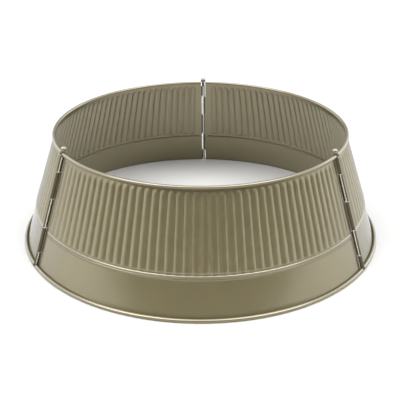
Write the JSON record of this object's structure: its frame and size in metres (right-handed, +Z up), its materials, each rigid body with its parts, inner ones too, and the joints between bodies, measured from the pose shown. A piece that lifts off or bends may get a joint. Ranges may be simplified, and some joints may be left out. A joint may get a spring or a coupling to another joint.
{
  "type": "christmas tree collar",
  "caption": "Tapered ring of fluted sheet-metal panels joined by curled knuckles and ball-headed pins, standing round the foot of a tree.",
  "frame": {"origin": "centre of the ring on the floor that it stands on", "axes": "+Z up along the ring's axis, -Y towards the middle of the front panel, +X to the right seen from the front"},
  "size_m": [0.66, 0.6605, 0.2123],
  "materials": {
    "collar_sheet": "satin champagne metallic",
    "pin_steel": "bright drawn steel",
    "knob_finish": "satin champagne metallic"
  },
  "bodies": {
    "front_panel": {"front_panel": "collar_sheet"},
    "rear_left_panel": {"rear_left_panel": "collar_sheet"},
    "rear_right_panel": {"rear_right_panel": "collar_sheet"},
    "left_pin": {"left_pin_rod": "pin_steel", "left_pin_knob": "knob_finish"},
    "right_pin": {"right_pin_rod": "pin_steel", "right_pin_knob": "knob_finish"},
    "rear_pin": {"rear_pin_rod": "pin_steel", "rear_pin_knob": "knob_finish"}
  },
  "joints": [
    {"name": "rear_left_swing", "type": "hinge", "parent": "front_panel", "child": "rear_left_panel", "pos_m": [-0.28365, -0.16377, 0.00096], "axis": [0.2717, 0.1569, 0.9495], "range_deg": [0, 105]},
    {"name": "rear_right_swing", "type": "hinge", "parent": "front_panel", "child": "rear_right_panel", "pos_m": [0.28365, -0.16377, 0.00096], "axis": [0.2717, -0.1569, -0.9495], "range_deg": [0, 105]},
    {"name": "left_pin_draw", "type": "slide", "parent": "front_panel", "child": "left_pin", "axis": [0.2717, 0.1569, 0.9495], "range_m": [0, 0.205]},
    {"name": "right_pin_draw", "type": "slide", "parent": "front_panel", "child": "right_pin", "axis": [-0.2717, 0.1569, 0.9495], "range_m": [0, 0.205]},
    {"name": "rear_pin_draw", "type": "slide", "parent": "rear_left_panel", "child": "rear_pin", "axis": [0, -0.3138, 0.9495], "range_m": [0, 0.205]}
  ]
}
